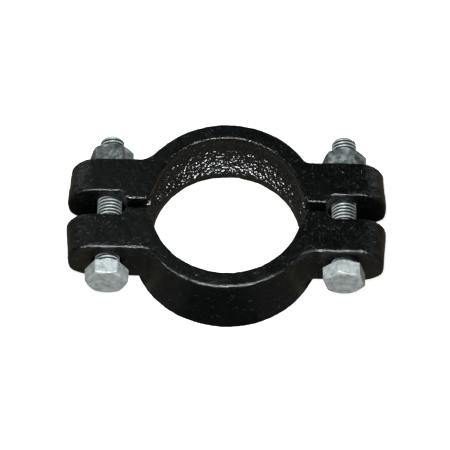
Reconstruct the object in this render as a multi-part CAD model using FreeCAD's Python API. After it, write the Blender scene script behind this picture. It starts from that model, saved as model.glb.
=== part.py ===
import FreeCAD, Part
import math
import os

# Two-piece bolted pipe coupling: two cast clamp halves, two hex bolts and two hex nuts.
#
# Frame, in millimetres: the origin is on the pipe axis, at the middle of the rear half's height.
# +Z is up along the pipe axis, X runs from ear to ear, and +Y runs along the bolts from their
# heads to their nuts. The clamp stands loose: the halves are OPEN_GAP apart at their pads, and
# the bolt heads stand off the front ears. Both halves are one casting, and the rear half is the
# front one turned half a turn about Z.

# Ring of one half
BORE_R = 35.0             # inner edges of the lips that grip the pipe
CHANNEL_R = 39.8          # deepest part of the groove between the lips
RING_HEIGHT = 35.0
LIP_THICKNESS = 4.8       # at its inner edge
CHANNEL_CORNER_R = 10.0
LIP_EDGE_R = 0.8
RING_TOP_R = 43.6         # outside of the ring, drafted wider towards its foot
RING_FOOT_R = 45.2
FOOT_EDGE_R = 2.0
TOP_EDGE_R = 2.2
LIP_RELIEF_DEPTH = 3.0    # the top lip opens out beside the pads
LIP_RELIEF_LENGTH = 7.0

# Ears of one half, measured from its pad faces
EAR_REACH = 75.4          # ear tip to the pipe axis
EAR_HEIGHT = 26.0
EAR_END_R = 12.6
EAR_OUTER_Y = 22.9        # face under the bolt head or the nut
EAR_INNER_Y = 4.1         # set-back face beside the pad
PAD_END_X = 47.0
PAD_STEP_RUN = 2.0
WIDE_CORNER_R = 8.0       # corner between ear and ring at one end of the casting
TIGHT_CORNER_R = 2.6      # and at its other end
EAR_EDGE_R = 2.0          # around the outer face
SET_BACK_EDGE_R = 1.2     # around the set-back face
HOLE_X = 55.4
HOLE_D = 13.8

# M12 fasteners
THREAD_D = 12.0
SHANK_D = THREAD_D - 0.16  # leaves the nut free to turn on the shank
HEAD_AF = 18.0
HEAD_HEIGHT = 7.5
NUT_AF = 19.0
NUT_HEIGHT = 10.4
SHANK_LENGTH = 72.3
SHANK_CHAMFER = 1.4
HEX_CHAMFER_ANGLE = 30.0
NUT_SINK = 0.7            # countersink at each end of the nut's thread

# Loose pose
OPEN_GAP = 4.4            # between the pads of the two halves
HEAD_SLACK = {"left": 4.2, "right": 2.2}
HEAD_TURN = {"left": 30.0, "right": 44.0}
NUT_TURN = {"left": 9.0, "right": 9.0}
NUT_SEAT_GAP = 0.03

EAR_TOP_Z = RING_HEIGHT / 2
EAR_FOOT_Z = EAR_TOP_Z - EAR_HEIGHT
HOLE_Z = EAR_TOP_Z - EAR_HEIGHT / 2
SIDES = {"left": -1, "right": 1}

UP = FreeCAD.Vector(0, 0, 1)
ORIGIN = FreeCAD.Vector(0, 0, 0)


def rounded_loop(corners, place):
    """Closed wire through (u, v, radius) corners; place(u, v) gives the point in space."""
    starts, edges = [], []
    count = len(corners)
    for i, (u, v, radius) in enumerate(corners):
        here = FreeCAD.Vector(u, v, 0)
        before = FreeCAD.Vector(*corners[i - 1][:2], 0) - here
        after = FreeCAD.Vector(*corners[(i + 1) % count][:2], 0) - here
        before.normalize()
        after.normalize()
        half_angle = before.getAngle(after) / 2
        if radius == 0:
            starts.append((here, here, here))
            continue
        setback = radius / math.tan(half_angle)
        centre_line = before + after
        centre_line.normalize()
        centre = here + centre_line * (radius / math.sin(half_angle))
        middle = centre - centre_line * radius
        starts.append((here + before * setback, middle, here + after * setback))
    for i, (enter, middle, leave) in enumerate(starts):
        following = starts[(i + 1) % count][0]
        if (leave - enter).Length > 1e-6:
            edges.append(Part.Arc(place(enter), place(middle), place(leave)).toShape())
        if (following - leave).Length > 1e-6:
            edges.append(Part.LineSegment(place(leave), place(following)).toShape())
    return Part.Wire(edges)


def in_plan(z):
    return lambda p: FreeCAD.Vector(p.x, p.y, z)


def in_section(p):
    return FreeCAD.Vector(p.x, 0, p.y)


def edges_where(shape, test):
    """Edges whose middle point passes the test."""
    found = []
    for edge in shape.Edges:
        middle = edge.valueAt((edge.FirstParameter + edge.LastParameter) / 2)
        if test(edge, middle):
            found.append(edge)
    return found


def ring_half():
    """Half ring on the -Y side: two lips with a deep round channel between them."""
    top = RING_HEIGHT / 2
    section = [
        (BORE_R, top, LIP_EDGE_R),
        (RING_TOP_R, top, TOP_EDGE_R),
        (RING_FOOT_R, -top, FOOT_EDGE_R),
        (BORE_R, -top, LIP_EDGE_R),
    ]
    ring = Part.Face(rounded_loop(section, in_section)).revolve(ORIGIN, UP, -180)
    return ring.cut(channel())


def channel():
    """Round-cornered groove whose arcs meet the bore at the inner edges of the lips."""
    into_bore = CHANNEL_CORNER_R - (CHANNEL_R - BORE_R)
    arc_height = math.sqrt(CHANNEL_CORNER_R ** 2 - into_bore ** 2)
    half_height = RING_HEIGHT / 2 - LIP_THICKNESS - arc_height + CHANNEL_CORNER_R
    inner_r = CHANNEL_R - CHANNEL_CORNER_R
    groove = [
        (inner_r, half_height, 0),
        (CHANNEL_R, half_height, CHANNEL_CORNER_R),
        (CHANNEL_R, -half_height, CHANNEL_CORNER_R),
        (inner_r, -half_height, 0),
    ]
    return Part.Face(rounded_loop(groove, in_section)).revolve(ORIGIN, UP, 360)


def ear(side):
    """Ear with its raised pad, on the -Y side, reaching in to the middle of the ring's wall."""
    outline = [
        (0, EAR_FOOT_Z, 0),
        (side * EAR_REACH, EAR_FOOT_Z, EAR_END_R),
        (side * EAR_REACH, EAR_TOP_Z, EAR_END_R),
        (0, EAR_TOP_Z, 0),
    ]
    block = Part.Face(rounded_loop(outline, in_section))
    block = block.extrude(FreeCAD.Vector(0, -EAR_OUTER_Y, 0))

    def on_outer_face(edge, middle):
        return abs(middle.y + EAR_OUTER_Y) < 0.01 and abs(middle.x) > 1
    block = block.makeFillet(EAR_EDGE_R, edges_where(block, on_outer_face))

    set_back = [
        (side * PAD_END_X, 0, 0),
        (side * (PAD_END_X + PAD_STEP_RUN), -EAR_INNER_Y, 0),
        (side * (EAR_REACH + 1), -EAR_INNER_Y, 0),
        (side * (EAR_REACH + 1), 0, 0),
    ]
    removed = Part.Face(rounded_loop(set_back, in_plan(EAR_FOOT_Z - 1)))
    block = block.cut(removed.extrude(UP * (EAR_HEIGHT + 2)))

    def on_set_back_face(edge, middle):
        upright_step = edge.BoundBox.ZLength > EAR_HEIGHT - 1
        return abs(middle.y + EAR_INNER_Y) < 0.01 and not upright_step
    block = block.makeFillet(SET_BACK_EDGE_R, edges_where(block, on_set_back_face))
    return block.cut(wall_core())


def wall_core():
    """Cylinder that ends inside the wall of the ring."""
    middle_r = (CHANNEL_R + RING_TOP_R) / 2
    return Part.makeCylinder(middle_r, RING_HEIGHT, FreeCAD.Vector(0, 0, -RING_HEIGHT / 2))


def corner_web(side, radius):
    """Fills the corner between an ear's outer face and the ring with a concave arc."""
    ring_r = (RING_TOP_R + RING_FOOT_R) / 2
    centre_y = -EAR_OUTER_Y - radius
    centre_x = math.sqrt((ring_r + radius) ** 2 - centre_y ** 2)
    centre = FreeCAD.Vector(side * centre_x, centre_y, 0)
    to_ring = -centre / centre.Length
    to_face = FreeCAD.Vector(0, 1, 0)
    between = to_ring + to_face
    between.normalize()
    on_face = centre + to_face * radius
    on_ring = centre + to_ring * radius
    inside_face = on_face + to_face * EAR_EDGE_R
    inside_ring = on_ring + to_ring * EAR_EDGE_R
    edges = [
        Part.Arc(on_face, centre + between * radius, on_ring).toShape(),
        Part.LineSegment(on_ring, inside_ring).toShape(),
        Part.LineSegment(inside_ring, inside_face).toShape(),
        Part.LineSegment(inside_face, on_face).toShape(),
    ]
    web = Part.Face(Part.Wire(edges)).extrude(UP * (EAR_HEIGHT - TOP_EDGE_R))
    web.translate(UP * EAR_FOOT_Z)
    return web.cut(wall_core())


def bolt_hole(side):
    start = FreeCAD.Vector(side * HOLE_X, 0, HOLE_Z)
    return Part.makeCylinder(HOLE_D / 2, 2 * EAR_OUTER_Y, start, FreeCAD.Vector(0, -1, 0))


def lip_relief(side):
    """Wedge that opens the top lip's inner edge outwards beside the pad."""
    start = math.sqrt(BORE_R ** 2 - LIP_RELIEF_LENGTH ** 2)
    wedge = [
        (side * (start - LIP_RELIEF_DEPTH), -LIP_RELIEF_LENGTH, 0),
        (side * start, -LIP_RELIEF_LENGTH, 0),
        (side * (BORE_R + LIP_RELIEF_DEPTH), 0, 0),
        (side * (start - LIP_RELIEF_DEPTH), 0, 0),
    ]
    lip_foot = RING_HEIGHT / 2 - LIP_THICKNESS
    return Part.Face(rounded_loop(wedge, in_plan(lip_foot))).extrude(UP * LIP_THICKNESS)


def clamp_casting():
    """One half, on the -Y side of its own pad faces."""
    corners = [corner_web(1, WIDE_CORNER_R), corner_web(-1, TIGHT_CORNER_R)]
    body = ring_half().fuse([ear(-1), ear(1)] + corners).removeSplitter()
    for side in SIDES.values():
        body = body.cut(bolt_hole(side))
        body = body.cut(lip_relief(side))
    return body


def hexagon(across_flats, thickness, base, turn):
    """Hexagonal prism along +Y from base; turn 0 puts a corner straight up."""
    corner = across_flats / math.sqrt(3)
    points = []
    for i in range(7):
        angle = math.radians(90 - turn + 60 * i)
        points.append(FreeCAD.Vector(corner * math.cos(angle), 0, corner * math.sin(angle)))
    prism = Part.Face(Part.makePolygon(points)).extrude(FreeCAD.Vector(0, thickness, 0))
    prism.translate(base)
    return prism


def corner_cone(across_flats, thickness, base, inward):
    """Solid of revolution that bevels a hexagon's corners on its face at base."""
    flat_r = across_flats / 2 * 0.97
    wide_r = flat_r + thickness / math.tan(math.radians(HEX_CHAMFER_ANGLE))
    return Part.makeCone(flat_r, wide_r, thickness, base, FreeCAD.Vector(0, inward, 0))


def bolt(side_name):
    """Hex bolt threaded along its whole shank, drawn plain at its major diameter."""
    x = SIDES[side_name] * HOLE_X
    seat_y = -OPEN_GAP - EAR_OUTER_Y - HEAD_SLACK[side_name]
    face = FreeCAD.Vector(x, seat_y - HEAD_HEIGHT, HOLE_Z)
    head = hexagon(HEAD_AF, HEAD_HEIGHT, face, HEAD_TURN[side_name])
    head = head.common(corner_cone(HEAD_AF, HEAD_HEIGHT, face, 1))
    along = FreeCAD.Vector(0, 1, 0)
    seat = FreeCAD.Vector(x, seat_y, HOLE_Z)
    plain = SHANK_LENGTH - SHANK_CHAMFER
    shank = Part.makeCylinder(SHANK_D / 2, plain, seat, along)
    tip = Part.makeCone(SHANK_D / 2, SHANK_D / 2 - SHANK_CHAMFER, SHANK_CHAMFER,
                        seat + along * plain, along)
    return head.fuse([shank, tip]).removeSplitter()


def nut(side_name):
    """Hex nut bevelled on both faces, with countersunk thread ends."""
    x = SIDES[side_name] * HOLE_X
    seat = FreeCAD.Vector(x, EAR_OUTER_Y + NUT_SEAT_GAP, HOLE_Z)
    outer = seat + FreeCAD.Vector(0, NUT_HEIGHT, 0)
    body = hexagon(NUT_AF, NUT_HEIGHT, seat, NUT_TURN[side_name])
    body = body.common(corner_cone(NUT_AF, NUT_HEIGHT, seat, 1))
    body = body.common(corner_cone(NUT_AF, NUT_HEIGHT, outer, -1))
    along = FreeCAD.Vector(0, 1, 0)
    body = body.cut(Part.makeCylinder(THREAD_D / 2, NUT_HEIGHT, seat, along))
    mouth_r = THREAD_D / 2 + NUT_SINK
    for base, way in ((seat, along), (outer, -along)):
        body = body.cut(Part.makeCone(mouth_r, THREAD_D / 2, NUT_SINK, base, way))
    return body


def write(name, shape):
    solids = len(shape.Solids)
    if solids != 1 or not shape.isValid():
        raise ValueError(f"{name} is not one valid solid: {solids} solids")
    shape.exportStep(f"parts/{name}.step")
    box = shape.BoundBox
    print(f"{name}: x {box.XMin:.2f}..{box.XMax:.2f} y {box.YMin:.2f}..{box.YMax:.2f} "
          f"z {box.ZMin:.2f}..{box.ZMax:.2f} volume {shape.Volume:.0f}")


os.makedirs("parts", exist_ok=True)

front_half = clamp_casting()
rear_half = front_half.copy()
rear_half.rotate(ORIGIN, UP, 180)
front_half.translate(FreeCAD.Vector(0, -OPEN_GAP, 0))
write("clamp_half_front", front_half)
write("clamp_half_rear", rear_half)
for side_name in SIDES:
    write(f"bolt_{side_name}", bolt(side_name))
    write(f"nut_{side_name}", nut(side_name))
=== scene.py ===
import math

import bpy
import numpy as np
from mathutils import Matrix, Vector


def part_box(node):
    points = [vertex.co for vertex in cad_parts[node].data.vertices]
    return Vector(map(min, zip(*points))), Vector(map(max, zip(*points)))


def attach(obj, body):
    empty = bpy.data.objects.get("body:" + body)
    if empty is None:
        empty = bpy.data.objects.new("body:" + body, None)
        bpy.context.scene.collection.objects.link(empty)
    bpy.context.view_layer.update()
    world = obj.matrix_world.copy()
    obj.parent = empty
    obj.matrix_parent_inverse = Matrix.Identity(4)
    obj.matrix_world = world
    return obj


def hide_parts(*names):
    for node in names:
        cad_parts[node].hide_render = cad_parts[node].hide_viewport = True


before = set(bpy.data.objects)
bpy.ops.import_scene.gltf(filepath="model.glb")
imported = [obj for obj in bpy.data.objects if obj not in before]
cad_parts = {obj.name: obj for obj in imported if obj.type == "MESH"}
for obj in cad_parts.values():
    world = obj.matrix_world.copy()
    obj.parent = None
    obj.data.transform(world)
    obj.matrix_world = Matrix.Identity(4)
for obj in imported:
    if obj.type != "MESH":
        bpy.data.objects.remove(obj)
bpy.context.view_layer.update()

import openvdb
from mathutils import Matrix, Vector

# A bolted two-piece pipe coupling: two rough sand castings in gloss black paint, two hot-dip
# galvanised hex bolts and two nuts. Every piece is a distance field, worked out here from its
# dimensions and turned into a closed mesh, so that castings get rolling edges and bolts get a
# true thread. Places come from the CAD nodes' boxes. Fields, dimensions and cards are in
# millimetres; meshes, textures, lights and the camera are in metres.

MM = 0.001
HOLLOW = "hollow"                    # the meshes' attribute that the materials read: rough channel on castings, painted shade in threads


def box_mm(node):
    low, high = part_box(node)
    return np.array(low) / MM, np.array(high) / MM


# Castings: what the CAD boxes say
REAR_LOW, REAR_HIGH = box_mm("clamp_half_rear")
FRONT_LOW, FRONT_HIGH = box_mm("clamp_half_front")
TOP_Z = REAR_HIGH[2]
FOOT_Z = REAR_LOW[2]
EAR_REACH = REAR_HIGH[0]
RING_FOOT_R = REAR_HIGH[1]
FRONT_SHIFT = FRONT_HIGH[1]          # Y of the front half's pad faces; the rear half's are at 0

# Castings: sizes
RING_TOP_R = RING_FOOT_R - 1.6
LIP_R = 35.0
CHANNEL_R = 39.8
CHANNEL_CORNER_R = 6.0
FLANK_FOOT = 12.7                    # height at which the channel's sloping flanks leave the bore
FLANK_SLOPE = math.radians(45)
EAR_FOOT_Z = TOP_Z - 26.0
EAR_END_R = 12.6
EAR_OUTER_Y = 22.9
EAR_TAPER = 1.2
SET_BACK = 4.1                       # the ears' inner faces stand back from the pads by this
PAD_END_X = 47.0
PAD_STEP_RUN = 2.2
HOLE_R = 6.9
RELIEF_DEPTH = 2.6                   # cut at each end of the upper lip
RELIEF_LENGTH = 7.5

# Castings: radii of edges and corners
EDGE_R = 1.5
RING_FOOT_EDGE_R = 2.0
TIGHT_CORNER_R = 1.5                 # between ring and ear at -X
CORNER_GROWTH = 2.3                  # the corner at +X is wider by this
CORNER_BLEND_X = 20
UNDER_CORNER_R = 2.5                 # the same corners below the ears
BLEND_BELOW, BLEND_ABOVE = 2, 3      # of the ears' foot, where one radius turns into the other
PAD_EDGE_R = 1.0
PAD_STEP_R = 1.5
CHANNEL_EDGE_R = 0.7
LIP_EDGE_R = 0.9
RELIEF_EDGE_R = 0.8
HOLE_EDGE_R = 0.7

# Castings: sand-cast surface, as wavelengths and heights of its unevenness
CASTING_VOXEL = 0.485
PAINT_SKIN = 0.13                    # the field is drawn in by this, and lumps stand up to it
PIT_LIMIT = 3                        # deepest pit, in skins
CHANNEL_LUMP_LIMIT = 2               # lumps in the channel stand this much higher, in skins
FINE_WAVE, FINE_RISE = 1.2, 0.045
CHANNEL_FINE_RISE = 0.05             # on top of FINE_RISE, in the channel
LUMP_WAVE, LUMP_RISE = 3.2, 0.04
SWELL_WAVE, SWELL_RISE = 11.0, 0.05
ROUGH_WALL = 1.5                     # its roughness ends this far behind the channel's wall
MARK_MARGIN = 1                      # the material's rough part goes this much higher
LUMPS_FROM, LUMPS_FULL = 1, 3        # distances from the pad faces, so that no lump crosses them
CASTING_SEEDS = {"rear": 11, "front": 23}

# Fasteners: sizes
THREAD_PITCH = 1.75
CREST_R = 5.9
THREAD_DEPTH = 0.85
THREAD_PLAY = 0.09                   # the nut's thread is wider than the bolt's by this
FLANK_FILL = 0.1                     # fills the thread's flanks out, as a share of its depth
HEAD_AF = 18.0
HEAD_HEIGHT = 7.5
NUT_AF = 19.0
BEVEL_START = 0.475                  # radius of a hexagon's round face, in widths across flats
HEAD_TURN = {"left": 30.0, "right": 44.0}
NUT_TURN = {"left": 16.0, "right": 16.0}
NECK_STEP = 0.3                      # the unthreaded neck is thinner than the crests by this
RUN_OUT_START, RUN_OUT_END = 0.6, 2.2          # of the thread, from under the head
SHANK_ROOT = 1                       # the shank starts this deep in the head
BOLT_END_CHAMFER = 1.5
NUT_MOUTH = 0.9
GROOVE_TOP = 0.1                     # the painted shade in the grooves starts this far under the crests,
GROOVE_FULL = 0.5                    # is full from this share of the depth,
GROOVE_END = 1.2                     # and ends this far from the bolt's end
BORE_RIM = 0.5                       # the painted shade in the nut's bore goes this far beyond its thread

# Fasteners: radii of edges and corners
HEX_EDGE_R = 0.3
FACE_EDGE_R = 0.25
SHANK_EDGE_R = 0.3
HEAD_FILLET_R = 0.5
MOUTH_EDGE_R = 0.15

# Fasteners: zinc surface, as wavelength and height of its fine and coarse lumps
BOLT_VOXEL = 0.26
NUT_VOXEL = 0.2
ZINC_SKIN = 0.05
BOLT_LUMPS = ((0.9, 0.018), (3.0, 0.03))
BOLT_PIT_LIMIT = 0.12
NUT_LUMPS = ((1.2, 0.03), (3.5, 0.04))
NUT_PIT_LIMIT = 0.15
ZINC_FROM, ZINC_FULL = 1, 2          # lumps on a nut start this far outside its thread
BOLT_SEEDS = {"left": 31, "right": 47}         # each nut's seed is one more

# Fields
THREAD_FIELD_SCALE = 0.62            # these two turn a steep slope back into a true distance
CONE_FIELD_SCALE = 0.7
BAND = 3                             # a field is kept this many voxels to each side of a surface
GRID_MARGIN = 4                      # voxels round a piece's box

# Colours
PAINT_DARK = (0.0002, 0.0003, 0.00026)
PAINT_WORN = (0.0008, 0.0012, 0.001)
DUST = (0.11, 0.12, 0.115)
BOLT_TONES = [(0.42, 0.46, 0.45), (0.68, 0.73, 0.72), (0.86, 0.9, 0.89)]
NUT_TONES = [(0.05, 0.06, 0.06), (0.16, 0.19, 0.186), (0.44, 0.48, 0.47)]
# colour of the painted shade in the threads of bolts and nuts
THREAD_PAINTED_SHADE = (0.02, 0.025, 0.024)
SKY = (0.008, 0.015, 0.012)
GROUND = (0.15, 0.135, 0.10)
FLASH_TONE = (0.94, 0.97, 1.0)

# Textures: scale, detail and roughness of each noise
TONE_NOISE = (110.0, 5.0, 0.6)
DUST_NOISE = (240.0, 4.0, 0.7)
PIT_NOISE = (420.0, 4.0, 0.6)
GRAIN_NOISE = (1000.0, 3.0, 0.6)
GRAVEL_NOISE = (750.0, 0.0, 0.5)
BLOTCH_NOISE = (330.0, 6.0, 0.65)
ZINC_NOISE = (1500.0, 3.0, 0.6)
SPECK_SCALE = 760.0

# Textures: colour ramps, as places with a value or a colour
TONE_STOPS = [(0.35, PAINT_DARK), (0.7, PAINT_WORN)]
SPECK_STOPS = [(0.05, 1.0), (0.17, 0.0)]
DUST_STOPS = [(0.48, 0.0), (0.62, 1.0)]
PAINT_ROUGHNESS = [(0.3, 0.18), (0.75, 0.3)]
CHANNEL_ROUGHNESS = 0.26
PAINT_SPECULAR = [(0.0, 0.5), (1.0, 1.0)]      # from plain paint to the channel
GRAIN_STRENGTH = [(0.0, 0.7), (1.0, 0.1)]      # from plain paint to the channel
BLOTCH_PLACES = (0.36, 0.5, 0.64)
ZINC_ROUGHNESS = [(0.3, 0.6), (0.7, 0.42)]
ZINC_METALLIC = 0.4

# Textures: heights and strengths of bumps
PIT_BUMP, PIT_STRENGTH = 0.0008, 0.6
GRAIN_BUMP = 0.0005
GRAVEL_BUMP = 0.0013
ZINC_BUMP, ZINC_STRENGTH = 0.0002, 0.4

# Stage
FLOOR_REACH = 4
FLOOR_WHITE = (0.92, 0.92, 0.92)
FLOOR_GLOW = 1.0
PAPER_ROUGHNESS = 0.9
HORIZON_BLEND = 0.15                 # sine of the angle over which ground turns into sky

# Cards for the gloss: name, two corners, height, colour, glow
FRONT_Y = FRONT_LOW[1]
CARDS = [
    ("dark_card", (-28, FRONT_Y - 60), (19, FRONT_Y + 4), FOOT_Z + 0.2,
     (0.003, 0.005, 0.007), 0.0),
    ("dim_card", (-60, FRONT_Y - 60), (60, FRONT_Y + 18), FOOT_Z + 0.1,
     (0.026, 0.027, 0.023), 0.6),
    ("gap_card", (-80, FRONT_SHIFT - 23), (80, FRONT_SHIFT + 9), FOOT_Z + 0.1,
     (0.01, 0.012, 0.01), 0.2),
    ("sky_card", (-250, 0), (-14, 300), 150, (0.15, 0.195, 0.178), 1.0),
]

# Lights: place, the place that they point to, size, power in watts. The flash lights all from
# the front, the glints reach only the castings, and the fills are weak and come from behind.
FLASH = ((-0.03, -0.34, 0.67), (0, 0, 0), (0.10, 0.07), 7.0)
GLINTS = [((x, -0.55, 0.42), (0, 0.04, 0), (0.08, 0.06), 5.0) for x in (-0.2, 0.2)]
FILLS = [((x, 0.75, 0.1), (0, 0, 0), (0.5, 0.16), 0.8) for x in (-0.55, 0.55)]

# Camera, on the photograph's line of sight; angles in degrees
LENS = 253.6
SENSOR_WIDTH = 36
CAMERA_DISTANCE = 1.5
CAMERA_ELEVATION = 57.4
CAMERA_AZIMUTH = 0.41
CAMERA_ROLL = 0.82
CAMERA_AIM = (-0.0007, -0.0027, 0)


# ---------------------------------------------------------------- distance fields

def join(a, b, radius):
    """Union of two fields with a concave fillet of that radius."""
    u = np.maximum(radius - a, 0)
    v = np.maximum(radius - b, 0)
    return np.maximum(radius, np.minimum(a, b)) - np.hypot(u, v)


def both(a, b, radius):
    """Intersection of two fields with its edge rounded to that radius."""
    u = np.maximum(radius + a, 0)
    v = np.maximum(radius + b, 0)
    return np.minimum(-radius, np.maximum(a, b)) + np.hypot(u, v)


def corner(u, v, radius):
    """Field of the quarter plane u < 0, v < 0 with its corner rounded."""
    inside = np.minimum(np.maximum(u + radius, v + radius), 0)
    return np.hypot(np.maximum(u + radius, 0), np.maximum(v + radius, 0)) + inside - radius


def smooth_step(value, low, high):
    t = np.clip((value - low) / (high - low), 0, 1)
    return t * t * (3 - 2 * t)


def spline_weights(places, wavelength, count):
    """Cubic B-spline weights of `count` lattice values for each place along one axis."""
    at = places.ravel() / wavelength
    cell = np.floor(at).astype(int)
    t = at - cell
    first = cell - cell.min()
    parts = [(1 - t) ** 3 / 6, (3 * t ** 3 - 6 * t ** 2 + 4) / 6,
             (-3 * t ** 3 + 3 * t ** 2 + 3 * t + 1) / 6, t ** 3 / 6]
    weights = np.zeros((len(at), count), np.float32)
    for k, part in enumerate(parts):
        weights[np.arange(len(at)), first + k] = part
    return weights


def noise(axes, wavelength, random):
    """Smooth noise of unit strength on the grid of three axes, with lumps of that wavelength."""
    counts = [int(np.ptp(np.floor(a / wavelength))) + 4 for a in axes]
    value = random.standard_normal(counts).astype(np.float32)
    for k in range(3):
        value = np.tensordot(value, spline_weights(axes[k], wavelength, counts[k]), (0, 1))
    return value / value.std()


def grid_axes(low, high, voxel):
    """Sample places along X, Y and Z, shaped so that they broadcast to a grid."""
    margin = GRID_MARGIN * voxel
    spans = [np.arange(a - margin, b + margin, voxel) for a, b in zip(low, high)]
    return spans[0][:, None, None], spans[1][None, :, None], spans[2][None, None, :]


def field_mesh(name, field, axes, voxel):
    """Closed mesh of the surface where the field is zero, in metres."""
    low = [float(a.ravel()[0]) for a in axes]
    band = BAND * voxel
    grid = openvdb.FloatGrid(background=band)
    grid.copyFromArray(np.clip(field, -band, band).astype(np.float32))
    points, quads = grid.convertToQuads(0.0)
    points = (points * voxel + np.array(low)) * MM
    mesh = bpy.data.meshes.new(name)
    mesh.vertices.add(len(points))
    mesh.vertices.foreach_set("co", points.astype(np.float32).ravel())
    mesh.loops.add(4 * len(quads))
    mesh.loops.foreach_set("vertex_index", quads.astype(np.int32).ravel())
    mesh.polygons.add(len(quads))
    mesh.polygons.foreach_set("loop_start", np.arange(len(quads), dtype=np.int32) * 4)
    mesh.update(calc_edges=True)
    mesh.validate()
    mesh.shade_smooth()
    piece = bpy.data.objects.new(name, mesh)
    bpy.context.scene.collection.objects.link(piece)
    return piece


def places_mm(piece):
    places = np.empty(3 * len(piece.data.vertices), np.float32)
    piece.data.vertices.foreach_get("co", places)
    return places.reshape(-1, 3).T / MM


def mark(piece, share):
    """Give each point its share of the rough channel on a casting, and of the painted shade in
    the threads on bolts and nuts.
    """
    values = piece.data.attributes.new(HOLLOW, "FLOAT", "POINT")
    values.data.foreach_set("value", share.astype(np.float32))


# ---------------------------------------------------------------- castings

def casting_field(x, y, z):
    """One half on the -Y side of its own pad faces; its wide corner is at +X."""
    rho = np.hypot(x, y)
    ring_r = RING_TOP_R + (RING_FOOT_R - RING_TOP_R) * (TOP_Z - z) / (TOP_Z - FOOT_Z)
    ring = both(rho - ring_r, FOOT_Z - z, RING_FOOT_EDGE_R)

    reach = EAR_REACH - EAR_TAPER * smooth_step(-y, SET_BACK, EAR_OUTER_Y)
    tip = abs(x) - reach
    ear_foot = corner(tip - EDGE_R, EAR_FOOT_Z - z, EAR_END_R)
    ear = both(-EAR_OUTER_Y - y, ear_foot, EDGE_R)

    corner_r = TIGHT_CORNER_R + CORNER_GROWTH * smooth_step(x, -CORNER_BLEND_X, CORNER_BLEND_X)
    above = smooth_step(z, EAR_FOOT_Z - BLEND_BELOW, EAR_FOOT_Z + BLEND_ABOVE)
    body = join(ring, ear, UNDER_CORNER_R + (corner_r - UNDER_CORNER_R) * above)
    body = both(body, corner(tip, z - TOP_Z, EAR_END_R), EDGE_R)

    step_norm = math.hypot(SET_BACK, PAD_STEP_RUN)
    step = ((abs(x) - PAD_END_X) * SET_BACK + y * PAD_STEP_RUN) / step_norm
    mating = both(y, join(y + SET_BACK, step, PAD_STEP_R), PAD_EDGE_R)
    body = both(body, mating, PAD_EDGE_R)

    flank = (rho - LIP_R) * math.sin(FLANK_SLOPE) + (abs(z) - FLANK_FOOT) * math.cos(FLANK_SLOPE)
    channel = both(rho - CHANNEL_R, flank, CHANNEL_CORNER_R)
    body = both(body, both(LIP_R - rho, -channel, CHANNEL_EDGE_R), LIP_EDGE_R)

    relief_start = math.sqrt(LIP_R ** 2 - RELIEF_LENGTH ** 2)
    run = LIP_R + RELIEF_DEPTH - relief_start
    slant = ((abs(x) - relief_start) * RELIEF_LENGTH - (y + RELIEF_LENGTH) * run)
    slant = slant / math.hypot(RELIEF_LENGTH, run)
    relief = np.maximum(np.maximum(slant, -RELIEF_LENGTH - y), FLANK_FOOT - z)
    body = both(body, -relief, RELIEF_EDGE_R)

    hole = np.hypot(abs(x) - HOLE_X, z - HOLE_Z) - HOLE_R
    return both(body, -hole, HOLE_EDGE_R)


def channel_share(x, y, z, height):
    """1 at the channel's wall up to about that height from its middle, 0 away from it."""
    wall = smooth_step(CHANNEL_R + ROUGH_WALL - np.hypot(x, y), 0, 1)
    return wall * smooth_step(height - abs(z), 0, 1)


def casting(place, seed):
    """A half with its own sand-cast lumps, placed at rest."""
    low = [-EAR_REACH, -RING_FOOT_R, FOOT_Z]
    high = [EAR_REACH, 0, TOP_Z]
    axes = grid_axes(low, high, CASTING_VOXEL)
    random = np.random.default_rng(seed)
    field = casting_field(*axes) + PAINT_SKIN
    fine = noise(axes, FINE_WAVE, random)
    lumps = noise(axes, LUMP_WAVE, random)
    swells = noise(axes, SWELL_WAVE, random)
    in_channel = channel_share(*axes, FLANK_FOOT) * smooth_step(-axes[1], LUMPS_FROM, LUMPS_FULL)
    rough = (FINE_RISE + CHANNEL_FINE_RISE * in_channel) * fine
    rough = rough + LUMP_RISE * lumps + SWELL_RISE * swells
    highest = PAINT_SKIN * (1 + CHANNEL_LUMP_LIMIT * in_channel)
    rough = np.clip(rough, -PIT_LIMIT * PAINT_SKIN, highest)
    piece = field_mesh(place + "_casting", field - rough, axes, CASTING_VOXEL)
    mark(piece, channel_share(*places_mm(piece), FLANK_FOOT + MARK_MARGIN))
    if place == "rear":
        piece.data.transform(Matrix.Rotation(math.pi, 4, "Z"))
    else:
        piece.data.transform(Matrix.Translation((0, FRONT_SHIFT * MM, 0)))
    return piece


# ---------------------------------------------------------------- fasteners

def hexagon_field(u, v, across_flats, turn):
    """Prism field; turn 0 puts a corner along +v, and positive turns it towards +u."""
    field = None
    for k in range(3):
        angle = math.radians(60 * k - turn)
        flat = abs(u * math.cos(angle) + v * math.sin(angle)) - across_flats / 2
        field = flat if field is None else both(field, flat, HEX_EDGE_R)
    return field


def thread_field(u, y, v, start, crest):
    """Right-hand thread about Y; `start` fixes where its turns lie."""
    turn = np.arctan2(u, v) / (2 * math.pi)
    phase = (y - start) / THREAD_PITCH - turn
    wave = 0.5 - 0.5 * np.cos(2 * math.pi * phase)
    wave = wave - FLANK_FILL * np.sin(4 * math.pi * phase) ** 2
    return (np.hypot(u, v) - crest + THREAD_DEPTH * wave) * THREAD_FIELD_SCALE


def bevel(rho, depth, across_flats):
    """Cone that takes a hexagon's corners off; depth is counted from its face."""
    return (rho - across_flats * BEVEL_START - depth * math.sqrt(3)) / 2


def fastener_grid(low, high, voxel):
    """Grid of a fastener's box, with its places counted from the bolt's axis."""
    centre_x, centre_z = (low[0] + high[0]) / 2, (low[2] + high[2]) / 2
    axes = grid_axes(low, high, voxel)
    return centre_x, centre_z, axes, axes[0] - centre_x, axes[1], axes[2] - centre_z


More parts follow.
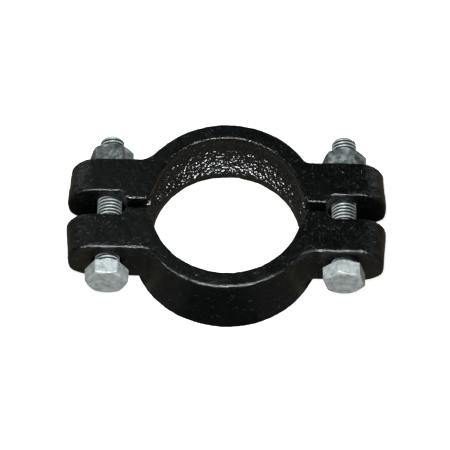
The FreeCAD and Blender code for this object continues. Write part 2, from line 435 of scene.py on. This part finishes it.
def zinc_lumps(axes, lumps, seed):
    random = np.random.default_rng(seed)
    (fine_wave, fine_rise), (wave, rise) = lumps
    return fine_rise * noise(axes, fine_wave, random) + rise * noise(axes, wave, random)


def bolt_piece(side, seed):
    name = "bolt_" + side
    low, high = box_mm(name)
    centre_x, centre_z, axes, u, y, v = fastener_grid(low, high, BOLT_VOXEL)
    rho = np.hypot(u, v)
    face_y, seat_y, end_y = low[1], low[1] + HEAD_HEIGHT, high[1]

    head = hexagon_field(u, v, HEAD_AF, HEAD_TURN[side])
    head = both(head, bevel(rho, y - face_y, HEAD_AF), FACE_EDGE_R)
    head = both(head, np.maximum(face_y - y, y - seat_y), FACE_EDGE_R)

    threaded = thread_field(u, y, v, end_y, CREST_R)
    plain = rho - CREST_R + NECK_STEP
    blend = smooth_step(y, seat_y + RUN_OUT_START, seat_y + RUN_OUT_END)
    shank = plain * (1 - blend) + threaded * blend
    chamfer = (rho - CREST_R + BOLT_END_CHAMFER + (y - end_y)) * CONE_FIELD_SCALE
    shank = both(shank, chamfer, SHANK_EDGE_R)
    shank = both(shank, np.maximum(y - end_y, seat_y - SHANK_ROOT - y), SHANK_EDGE_R)
    field = join(head, shank, HEAD_FILLET_R)

    zinc = zinc_lumps(axes, BOLT_LUMPS, seed)
    field = field + ZINC_SKIN - np.clip(zinc, -BOLT_PIT_LIMIT, ZINC_SKIN)
    piece = field_mesh(name + "_part", field, axes, BOLT_VOXEL)
    px, py, pz = places_mm(piece)
    # share of painted shade deep in the thread's grooves, from the head to near the bolt's end
    depth = CREST_R - GROOVE_TOP - np.hypot(px - centre_x, pz - centre_z)
    groove = smooth_step(depth, 0, THREAD_DEPTH * GROOVE_FULL)
    mark(piece, groove * (py > seat_y) * (py < end_y - GROOVE_END))
    return piece


def nut_piece(side, seed):
    name = "nut_" + side
    low, high = box_mm(name)
    bolt_end_y = box_mm("bolt_" + side)[1][1]
    centre_x, centre_z, axes, u, y, v = fastener_grid(low, high, NUT_VOXEL)
    rho = np.hypot(u, v)
    seat_y, face_y = low[1], high[1]

    body = hexagon_field(u, v, NUT_AF, NUT_TURN[side])
    body = both(body, bevel(rho, y - seat_y, NUT_AF), HEX_EDGE_R)
    body = both(body, bevel(rho, face_y - y, NUT_AF), HEX_EDGE_R)
    body = both(body, np.maximum(seat_y - y, y - face_y), FACE_EDGE_R)
    bore = thread_field(u, y, v, bolt_end_y, CREST_R + THREAD_PLAY)
    mouth_depth = np.minimum(y - seat_y, face_y - y)
    mouth = (rho - CREST_R - NUT_MOUTH + mouth_depth) * CONE_FIELD_SCALE
    body = both(body, -np.minimum(bore, mouth), MOUTH_EDGE_R)

    zinc = zinc_lumps(axes, NUT_LUMPS, seed)
    zinc = zinc * smooth_step(rho, CREST_R + ZINC_FROM, CREST_R + ZINC_FULL)
    field = body + ZINC_SKIN - np.clip(zinc, -NUT_PIT_LIMIT, ZINC_SKIN)
    piece = field_mesh(name + "_part", field, axes, NUT_VOXEL)
    px, py, pz = places_mm(piece)
    # share of painted shade in the nut's threaded bore
    inward = CREST_R + BORE_RIM - np.hypot(px - centre_x, pz - centre_z)
    mark(piece, smooth_step(inward, 0, BORE_RIM))
    return piece


# ---------------------------------------------------------------- materials

def new_material(name):
    material = bpy.data.materials.new(name)
    material.use_nodes = True
    nodes = material.node_tree.nodes
    return material, nodes, material.node_tree.links, nodes["Principled BSDF"]


def node(nodes, kind, **settings):
    """New node; each setting is one of its inputs or one of its properties."""
    made = nodes.new(kind)
    for key, value in settings.items():
        if key in made.inputs:
            made.inputs[key].default_value = value
        else:
            setattr(made, key, value)
    return made


def ramp(nodes, links, source, stops):
    """Colour ramp fed by `source`; each stop is a place with a grey or an RGB shade."""
    made = nodes.new("ShaderNodeValToRGB")
    elements = made.color_ramp.elements
    while len(elements) < len(stops):
        elements.new(0.5)
    for element, (place, shade) in zip(elements, stops):
        element.position = place
        rgb = (shade,) * 3 if isinstance(shade, float) else shade
        element.color = (*rgb, 1)
    links.new(source, made.inputs["Fac"])
    return made.outputs["Color"]


def mix(nodes, links, share, first, second):
    """Blend of two shades, each an RGB tuple or another node's output."""
    made = node(nodes, "ShaderNodeMixRGB")
    links.new(share, made.inputs["Fac"])
    for key, shade in (("Color1", first), ("Color2", second)):
        if isinstance(shade, tuple):
            made.inputs[key].default_value = (*shade, 1)
        else:
            links.new(shade, made.inputs[key])
    return made.outputs["Color"]


def noise_texture(nodes, links, place, scale, detail, roughness):
    made = node(nodes, "ShaderNodeTexNoise", Scale=scale, Detail=detail, Roughness=roughness)
    links.new(place, made.inputs["Vector"])
    return made.outputs["Fac"]


def bump(nodes, links, height, distance, strength, under=None):
    """Bump on top of `under`; its strength is a number or another node's output."""
    made = node(nodes, "ShaderNodeBump", Distance=distance)
    links.new(height, made.inputs["Height"])
    if isinstance(strength, float):
        made.inputs["Strength"].default_value = strength
    else:
        links.new(strength, made.inputs["Strength"])
    if under is not None:
        links.new(under, made.inputs["Normal"])
    return made.outputs["Normal"]


def hollow_share(nodes):
    return node(nodes, "ShaderNodeAttribute", attribute_name=HOLLOW).outputs["Fac"]


def black_paint():
    """Glossy black paint over sand-cast iron, with a little pale dust caught in its pits."""
    material, nodes, links, surface = new_material("black_paint")
    place = node(nodes, "ShaderNodeTexCoord").outputs["Object"]
    cloud = noise_texture(nodes, links, place, *TONE_NOISE)
    tone = ramp(nodes, links, cloud, TONE_STOPS)

    speck = node(nodes, "ShaderNodeTexVoronoi", Scale=SPECK_SCALE)
    links.new(place, speck.inputs["Vector"])
    dust = noise_texture(nodes, links, place, *DUST_NOISE)
    specks = node(nodes, "ShaderNodeMath", operation="MULTIPLY")
    links.new(ramp(nodes, links, speck.outputs["Distance"], SPECK_STOPS), specks.inputs[0])
    links.new(ramp(nodes, links, dust, DUST_STOPS), specks.inputs[1])
    dusty = mix(nodes, links, specks.outputs[0], tone, DUST)
    links.new(dusty, surface.inputs["Base Color"])

    channel = hollow_share(nodes)
    smooth = ramp(nodes, links, dust, PAINT_ROUGHNESS)
    roughness = mix(nodes, links, channel, smooth, (CHANNEL_ROUGHNESS,) * 3)
    links.new(roughness, surface.inputs["Roughness"])
    specular = ramp(nodes, links, channel, PAINT_SPECULAR)
    links.new(specular, surface.inputs["Specular IOR Level"])

    pits = noise_texture(nodes, links, place, *PIT_NOISE)
    grain = noise_texture(nodes, links, place, *GRAIN_NOISE)
    gravel = noise_texture(nodes, links, place, *GRAVEL_NOISE)
    grain_strength = ramp(nodes, links, channel, GRAIN_STRENGTH)
    pitted = bump(nodes, links, pits, PIT_BUMP, PIT_STRENGTH)
    grainy = bump(nodes, links, grain, GRAIN_BUMP, grain_strength, pitted)
    gravelly = bump(nodes, links, gravel, GRAVEL_BUMP, channel, grainy)
    links.new(gravelly, surface.inputs["Normal"])
    return material


def galvanised(name, tones):
    """Dull hot-dip zinc with blotches in three tones from dark to pale, and painted shade in the
    threads.
    """
    material, nodes, links, surface = new_material(name)
    place = node(nodes, "ShaderNodeTexCoord").outputs["Object"]
    blotch = noise_texture(nodes, links, place, *BLOTCH_NOISE)
    tone = ramp(nodes, links, blotch, list(zip(BLOTCH_PLACES, tones)))
    # painted shade: the threads are darkened in the base colour
    shaded = mix(nodes, links, hollow_share(nodes), tone, THREAD_PAINTED_SHADE)
    links.new(shaded, surface.inputs["Base Color"])
    links.new(ramp(nodes, links, blotch, ZINC_ROUGHNESS), surface.inputs["Roughness"])
    surface.inputs["Metallic"].default_value = ZINC_METALLIC
    grain = noise_texture(nodes, links, place, *ZINC_NOISE)
    links.new(bump(nodes, links, grain, ZINC_BUMP, ZINC_STRENGTH), surface.inputs["Normal"])
    return material


# ---------------------------------------------------------------- the pieces

bolt_low, bolt_high = box_mm("bolt_right")
HOLE_X = (bolt_low[0] + bolt_high[0]) / 2
HOLE_Z = (bolt_low[2] + bolt_high[2]) / 2
PAINT = black_paint()
BOLT_ZINC = galvanised("galvanised_bolt", BOLT_TONES)
NUT_ZINC = galvanised("galvanised_nut", NUT_TONES)


def place_piece(piece, body, material):
    piece.data.materials.append(material)
    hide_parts(body)
    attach(piece, body)


castings = bpy.data.collections.new("castings")
for place, seed in CASTING_SEEDS.items():
    half = casting(place, seed)
    place_piece(half, "clamp_half_" + place, PAINT)
    castings.objects.link(half)
for side, seed in BOLT_SEEDS.items():
    place_piece(bolt_piece(side, seed), "bolt_" + side, BOLT_ZINC)
    place_piece(nut_piece(side, seed + 1), "nut_" + side, NUT_ZINC)


# ---------------------------------------------------------------- stage, camera, light

def sheet(name, low, high, height, colour, glow):
    """Level sheet of plain paper between two corners, kept out of the object's own light."""
    mesh = bpy.data.meshes.new(name)
    corners = [(low[0], low[1]), (high[0], low[1]), (high[0], high[1]), (low[0], high[1])]
    mesh.from_pydata([(x, y, height) for x, y in corners], [], [(0, 1, 2, 3)])
    piece = bpy.data.objects.new(name, mesh)
    bpy.context.scene.collection.objects.link(piece)
    material, _, _, surface = new_material(name + "_paper")
    surface.inputs["Base Color"].default_value = (*colour, 1)
    surface.inputs["Roughness"].default_value = PAPER_ROUGHNESS
    surface.inputs["Emission Color"].default_value = (*colour, 1)
    surface.inputs["Emission Strength"].default_value = glow
    mesh.materials.append(material)
    piece.visible_diffuse = False
    return piece


def floor():
    near, far = (-FLOOR_REACH, -FLOOR_REACH), (FLOOR_REACH, FLOOR_REACH)
    paper = sheet("floor", near, far, FOOT_Z * MM, FLOOR_WHITE, FLOOR_GLOW)
    paper.visible_glossy = False


def gloss_card(name, low, high, height, colour, glow):
    """Card that is seen only in the object's gloss; corners and height in millimetres."""
    card = sheet(name, np.array(low) * MM, np.array(high) * MM, height * MM, colour, glow)
    card.visible_camera = False
    card.visible_shadow = False


def camera():
    """Looks down on the clamp from the side of its bolt heads."""
    data = bpy.data.cameras.new("camera")
    data.lens = LENS
    data.sensor_width = SENSOR_WIDTH
    made = bpy.data.objects.new("camera", data)
    bpy.context.scene.collection.objects.link(made)
    elevation, azimuth = math.radians(CAMERA_ELEVATION), math.radians(CAMERA_AZIMUTH)
    level = Vector((math.sin(azimuth), -math.cos(azimuth), 0)) * math.cos(elevation)
    back = level + Vector((0, 0, math.sin(elevation)))
    roll = Matrix.Rotation(math.radians(CAMERA_ROLL), 3, "Z").to_quaternion()
    made.location = Vector(CAMERA_AIM) + back * CAMERA_DISTANCE
    made.rotation_euler = (back.to_track_quat("Z", "Y") @ roll).to_euler()
    bpy.context.scene.camera = made


def area_light(name, place, aim, size, power):
    data = bpy.data.lights.new(name, "AREA")
    data.shape = "RECTANGLE"
    data.size, data.size_y = size
    data.energy = power
    data.color = FLASH_TONE
    made = bpy.data.objects.new(name, data)
    made.location = place
    direction = Vector(aim) - Vector(place)
    made.rotation_euler = direction.to_track_quat("-Z", "Y").to_euler()
    bpy.context.scene.collection.objects.link(made)
    return made


def studio():
    """Dim room: cool above, warm below."""
    world = bpy.data.worlds.new("studio")
    bpy.context.scene.world = world
    world.use_nodes = True
    nodes, links = world.node_tree.nodes, world.node_tree.links
    away = node(nodes, "ShaderNodeSeparateXYZ")
    links.new(node(nodes, "ShaderNodeTexCoord").outputs["Generated"], away.inputs["Vector"])
    height = node(nodes, "ShaderNodeMapRange", interpolation_type="SMOOTHSTEP",
                  **{"From Min": -HORIZON_BLEND, "From Max": HORIZON_BLEND})
    links.new(away.outputs["Z"], height.inputs["Value"])
    shade = mix(nodes, links, height.outputs["Result"], GROUND, SKY)
    links.new(shade, nodes["Background"].inputs["Color"])


floor()
for card in CARDS:
    gloss_card(*card)
camera()
area_light("flash", *FLASH)
for light in GLINTS:
    area_light("glint", *light).light_linking.receiver_collection = castings
for light in FILLS:
    area_light("fill", *light)
studio()
bpy.context.scene.view_settings.view_transform = "Standard"
